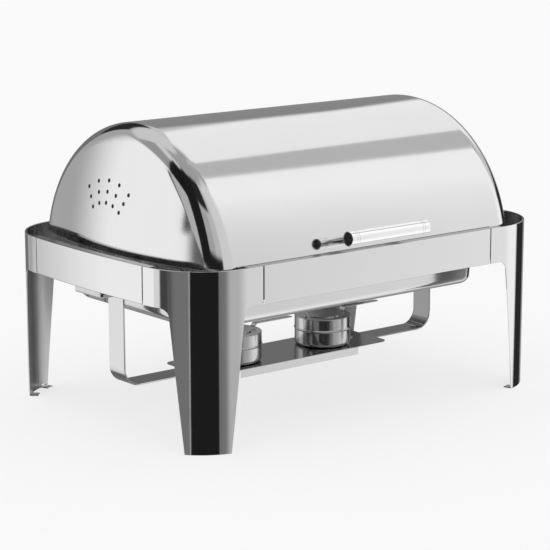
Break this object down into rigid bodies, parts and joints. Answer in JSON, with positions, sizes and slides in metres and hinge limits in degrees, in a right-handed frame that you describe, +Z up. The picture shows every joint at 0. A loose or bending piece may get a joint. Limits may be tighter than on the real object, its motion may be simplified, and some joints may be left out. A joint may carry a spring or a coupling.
{
  "type": "chafing dish food warmer",
  "caption": "Roll-top chafing dish: a hinged half-round lid over nested water and food pans on a legged frame, with a fuel tray and covered burners hung below.",
  "frame": {"origin": "centre of the whole object's footprint on the surface that it stands on", "axes": "+Z up, +X along the length towards the right end seen from the handle side, -Y towards the handle"},
  "size_m": [0.6794, 0.4748, 0.4164],
  "materials": {
    "polished_steel": "mirror-polished stainless steel",
    "inner_steel": "satin stainless steel",
    "fastener_steel": "zinc-plated steel",
    "cup_steel": "polished stainless steel",
    "stand_steel": "polished stainless steel",
    "pan_steel": "bright stainless steel",
    "bush_nylon": "white nylon",
    "cap_black": "black plastic"
  },
  "bodies": {
    "frame": {"frame_ring": "inner_steel", "fuel_strap": "stand_steel", "fuel_tray": "stand_steel", "hanger_left": "inner_steel", "hanger_right": "inner_steel", "leg_back_left": "polished_steel", "leg_back_right": "polished_steel", "leg_front_left": "polished_steel", "leg_front_right": "polished_steel", "lid_stops_left": "fastener_steel", "lid_stops_right": "fastener_steel", "pan_bar_left": "inner_steel", "pan_bar_right": "inner_steel", "pan_bar_rivets": "fastener_steel", "panel_nuts": "fastener_steel", "panel_studs": "fastener_steel", "pivot_nut_left": "fastener_steel", "pivot_nut_right": "fastener_steel", "pivot_pin_left": "fastener_steel", "pivot_pin_right": "fastener_steel", "pivot_plate_left": "inner_steel", "pivot_plate_nuts": "fastener_steel", "pivot_plate_right": "inner_steel", "pivot_plate_screws": "fastener_steel", "pivot_spacer_left": "bush_nylon", "pivot_spacer_right": "bush_nylon", "rail_back": "polished_steel", "rail_front": "polished_steel", "rail_left": "polished_steel", "rail_right": "polished_steel", "strap_nuts": "fastener_steel", "strap_screws": "fastener_steel", "tray_rivets": "fastener_steel"},
    "lid": {"handle_cap_left": "cap_black", "handle_cap_right": "cap_black", "handle_posts": "polished_steel", "handle_screws": "fastener_steel", "handle_tube": "polished_steel", "lid_arm_bosses_left": "fastener_steel", "lid_arm_bosses_right": "fastener_steel", "lid_arm_left": "inner_steel", "lid_arm_right": "inner_steel", "lid_hem": "inner_steel", "lid_shell": "polished_steel", "pivot_bush_left": "bush_nylon", "pivot_bush_right": "bush_nylon"},
    "water_pan": {"water_pan": "pan_steel"},
    "food_pan": {"food_pan": "pan_steel"},
    "fuel_cup_left": {"fuel_cup_left": "cup_steel", "cup_cover_left": "cup_steel", "damper_rivet_left": "fastener_steel"},
    "damper_left": {"damper_left": "cup_steel"},
    "fuel_cup_right": {"fuel_cup_right": "cup_steel", "cup_cover_right": "cup_steel", "damper_rivet_right": "fastener_steel"},
    "damper_right": {"damper_right": "cup_steel"}
  },
  "joints": [
    {"name": "lid_roll", "type": "hinge", "parent": "frame", "child": "lid", "pos_m": [0, 0.01, 0.2054], "axis": [-1, 0, 0], "range_deg": [0, 83]},
    {"name": "water_pan_lift", "type": "slide", "parent": "frame", "child": "water_pan", "axis": [0, 0, 1], "range_m": [0, 0.025]},
    {"name": "food_pan_lift", "type": "slide", "parent": "water_pan", "child": "food_pan", "axis": [0, 0, 1], "range_m": [0, 0.035]},
    {"name": "fuel_cup_left_lift", "type": "slide", "parent": "frame", "child": "fuel_cup_left", "axis": [0, 0, 1], "range_m": [0, 0.03]},
    {"name": "damper_left_swivel", "type": "hinge", "parent": "fuel_cup_left", "child": "damper_left", "pos_m": [-0.1163, 0.01, 0.0995], "axis": [0, 0, -1], "range_deg": [0, 90]},
    {"name": "fuel_cup_right_lift", "type": "slide", "parent": "frame", "child": "fuel_cup_right", "axis": [0, 0, 1], "range_m": [0, 0.03]},
    {"name": "damper_right_swivel", "type": "hinge", "parent": "fuel_cup_right", "child": "damper_right", "pos_m": [0.0543, 0.01, 0.0995], "axis": [0, 0, -1], "range_deg": [0, 90]}
  ]
}
